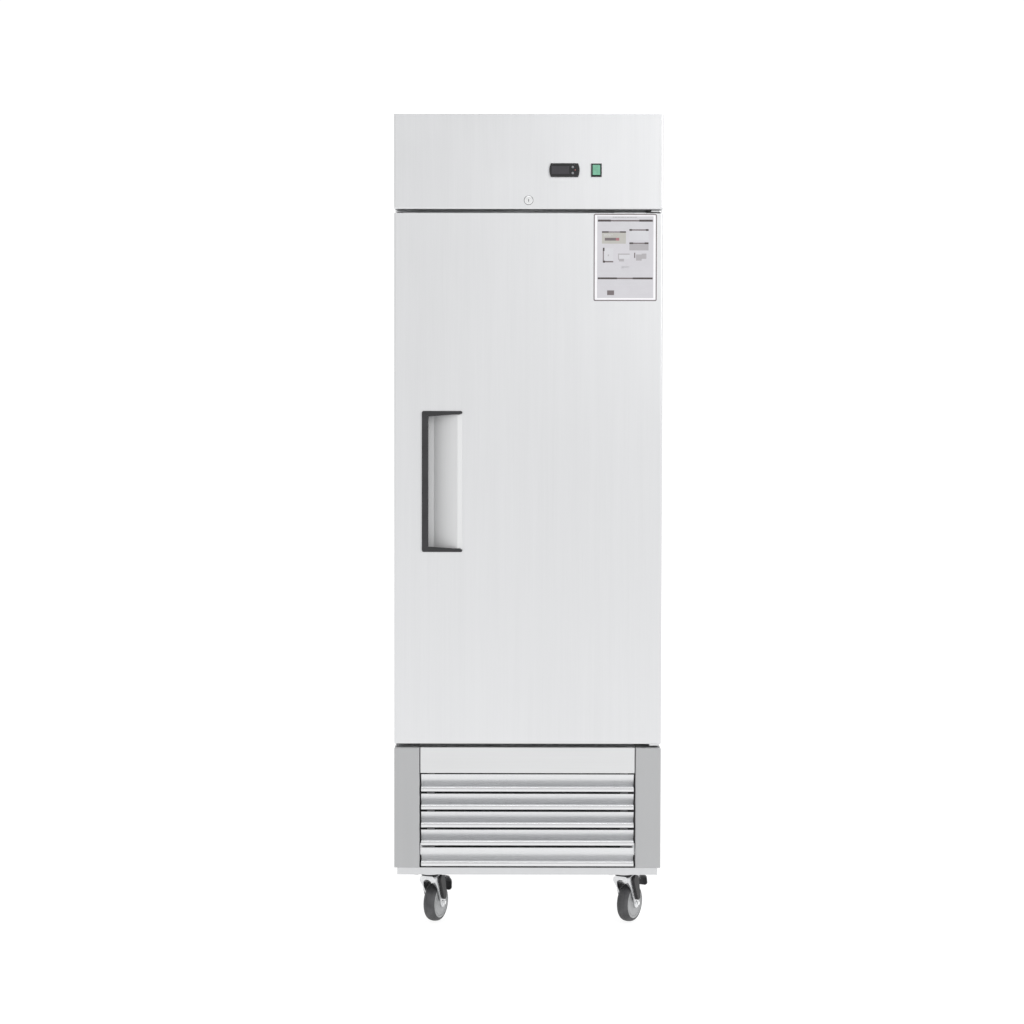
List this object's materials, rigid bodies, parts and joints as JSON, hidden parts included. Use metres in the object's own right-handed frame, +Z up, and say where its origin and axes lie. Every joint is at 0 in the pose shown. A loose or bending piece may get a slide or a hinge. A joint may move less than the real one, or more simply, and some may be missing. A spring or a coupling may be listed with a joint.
{
  "type": "reach in refrigerator",
  "caption": "Upright stainless commercial refrigerator with a solid hinged door, recessed pull, header controls, louvred base and swivel casters.",
  "frame": {"origin": "on the floor, below the middle of the object's box", "axes": "+Z up, -Y out of the door's face, +X to the right of someone who faces the door"},
  "size_m": [0.686, 0.8, 2.095],
  "materials": {
    "stainless": "vertical brushed grain, satin",
    "galvanised": "dull zinc coat",
    "liner_sheet": "stucco embossed, satin",
    "foam": "closed cell foam, matt",
    "trim_plastic": "fine matt grain",
    "black_plastic": "satin moulded",
    "black_nylon": "satin moulded",
    "gloss_black": "polished",
    "dark_window": "polished, smoked",
    "green_rocker": "translucent, lit from behind",
    "gasket": "soft matt vinyl",
    "label": "laminated print, semi gloss",
    "chrome": "bright plated",
    "zinc": "bright zinc plate",
    "wheel_grey": "ribbed tread, paler hub",
    "compressor_black": "semi gloss enamel",
    "fin_aluminium": "mill finish",
    "copper": "drawn tube, slightly dull",
    "lamp_white": "frosted",
    "shelf_wire": "bright plated wire",
    "grey_plastic": "fine matt grain"
  },
  "bodies": {
    "cabinet": {"side_panels": "stainless", "top_panel": "stainless", "floor_panel": "stainless", "back_panel": "galvanised", "cabinet_foam": "foam", "liner_panels": "liner_sheet", "throat_trim": "trim_plastic", "header_panel": "stainless", "controller_housing": "gloss_black", "controller_window": "dark_window", "switch_frame": "black_plastic", "lock_housing": "chrome", "hinge_brackets": "zinc", "hinge_pins": "zinc", "base_posts": "stainless", "base_fascia": "stainless", "louvre_grille": "stainless", "base_pan": "stainless", "rear_cover": "galvanised", "cord_gland": "black_nylon", "compressor": "compressor_black", "condenser_coil": "fin_aluminium", "condenser_shroud": "galvanised", "fan_motors": "black_plastic", "drain_pan": "grey_plastic", "refrigerant_pipes": "copper", "filter_drier": "copper", "evaporator_coil": "fin_aluminium", "evaporator_cover": "liner_sheet", "fan_guard": "shelf_wire", "interior_lamp": "lamp_white", "shelf_pilasters": "zinc", "shelf_clips": "zinc", "wire_shelves": "shelf_wire", "caster_plates": "zinc", "panel_screws": "chrome"},
    "door": {"door_skin": "stainless", "door_liner": "liner_sheet", "door_foam": "foam", "door_gasket": "gasket", "handle_frame": "black_plastic", "handle_plate": "stainless", "instruction_label": "label", "hinge_bushes": "black_nylon"},
    "switch_rocker": {"switch_rocker": "green_rocker"},
    "lock_plug": {"lock_plug": "chrome"},
    "up_key": {"up_key": "grey_plastic"},
    "down_key": {"down_key": "grey_plastic"},
    "condenser_fan": {"condenser_fan": "fin_aluminium"},
    "evaporator_fan": {"evaporator_fan": "fin_aluminium"},
    "front_left_fork": {"front_left_fork": "zinc"},
    "front_left_wheel": {"front_left_wheel": "wheel_grey"},
    "front_left_brake_pedal": {"front_left_brake_pedal": "black_plastic"},
    "front_right_fork": {"front_right_fork": "zinc"},
    "front_right_wheel": {"front_right_wheel": "wheel_grey"},
    "front_right_brake_pedal": {"front_right_brake_pedal": "black_plastic"},
    "rear_left_fork": {"rear_left_fork": "zinc"},
    "rear_left_wheel": {"rear_left_wheel": "wheel_grey"},
    "rear_right_fork": {"rear_right_fork": "zinc"},
    "rear_right_wheel": {"rear_right_wheel": "wheel_grey"}
  },
  "joints": [
    {"name": "door_swing", "type": "hinge", "parent": "cabinet", "child": "door", "pos_m": [0.327, -0.369, 1.1625], "axis": [0, 0, 1], "range_deg": [0, 120], "stiffness_Nm_per_rad": 1.2},
    {"name": "switch_tip", "type": "hinge", "parent": "cabinet", "child": "switch_rocker", "pos_m": [0.1723, -0.392, 1.95], "axis": [1, 0, 0], "range_deg": [0, 16]},
    {"name": "lock_turn", "type": "hinge", "parent": "cabinet", "child": "lock_plug", "pos_m": [0, -0.38, 1.874], "axis": [0, 1, 0], "range_deg": [0, 90]},
    {"name": "up_key_press", "type": "slide", "parent": "cabinet", "child": "up_key", "axis": [0, 1, 0], "range_m": [0, 0.0008], "stiffness_N_per_m": 600},
    {"name": "down_key_press", "type": "slide", "parent": "cabinet", "child": "down_key", "axis": [0, 1, 0], "range_m": [0, 0.0008], "stiffness_N_per_m": 600},
    {"name": "condenser_fan_spin", "type": "hinge", "parent": "cabinet", "child": "condenser_fan", "pos_m": [0.06, -0.104, 0.3], "axis": [0, 1, 0], "continuous": true},
    {"name": "evaporator_fan_spin", "type": "hinge", "parent": "cabinet", "child": "evaporator_fan", "pos_m": [0, -0.088, 1.872], "axis": [0, 0, 1], "continuous": true},
    {"name": "front_left_swivel", "type": "hinge", "parent": "cabinet", "child": "front_left_fork", "pos_m": [-0.253, -0.318, 0.13], "axis": [0, 0, 1], "continuous": true},
    {"name": "front_left_roll", "type": "hinge", "parent": "front_left_fork", "child": "front_left_wheel", "pos_m": [-0.23972, -0.2867, 0.05], "axis": [0.9205, -0.3907, 0], "continuous": true},
    {"name": "front_left_brake", "type": "hinge", "parent": "front_left_fork", "child": "front_left_brake_pedal", "pos_m": [-0.23268, -0.27013, 0.112], "axis": [0.9205, -0.3907, 0], "range_deg": [0, 16]},
    {"name": "front_right_swivel", "type": "hinge", "parent": "cabinet", "child": "front_right_fork", "pos_m": [0.253, -0.318, 0.13], "axis": [0, 0, 1], "continuous": true},
    {"name": "front_right_roll", "type": "hinge", "parent": "front_right_fork", "child": "front_right_wheel", "pos_m": [0.27, -0.28856, 0.05], "axis": [0.866, -0.5, 0], "continuous": true},
    {"name": "front_right_brake", "type": "hinge", "parent": "front_right_fork", "child": "front_right_brake_pedal", "pos_m": [0.279, -0.27297, 0.112], "axis": [0.866, -0.5, 0], "range_deg": [-16, 0]},
    {"name": "rear_left_swivel", "type": "hinge", "parent": "cabinet", "child": "rear_left_fork", "pos_m": [-0.253, 0.31, 0.13], "axis": [0, 0, 1], "continuous": true},
    {"name": "rear_left_roll", "type": "hinge", "parent": "rear_left_fork", "child": "rear_left_wheel", "pos_m": [-0.26007, 0.34326, 0.05], "axis": [0.9781, 0.2079, 0], "continuous": true},
    {"name": "rear_right_swivel", "type": "hinge", "parent": "cabinet", "child": "rear_right_fork", "pos_m": [0.253, 0.31, 0.13], "axis": [0, 0, 1], "continuous": true},
    {"name": "rear_right_roll", "type": "hinge", "parent": "rear_right_fork", "child": "rear_right_wheel", "pos_m": [0.26237, 0.34268, 0.05], "axis": [0.9613, -0.2756, 0], "continuous": true}
  ]
}
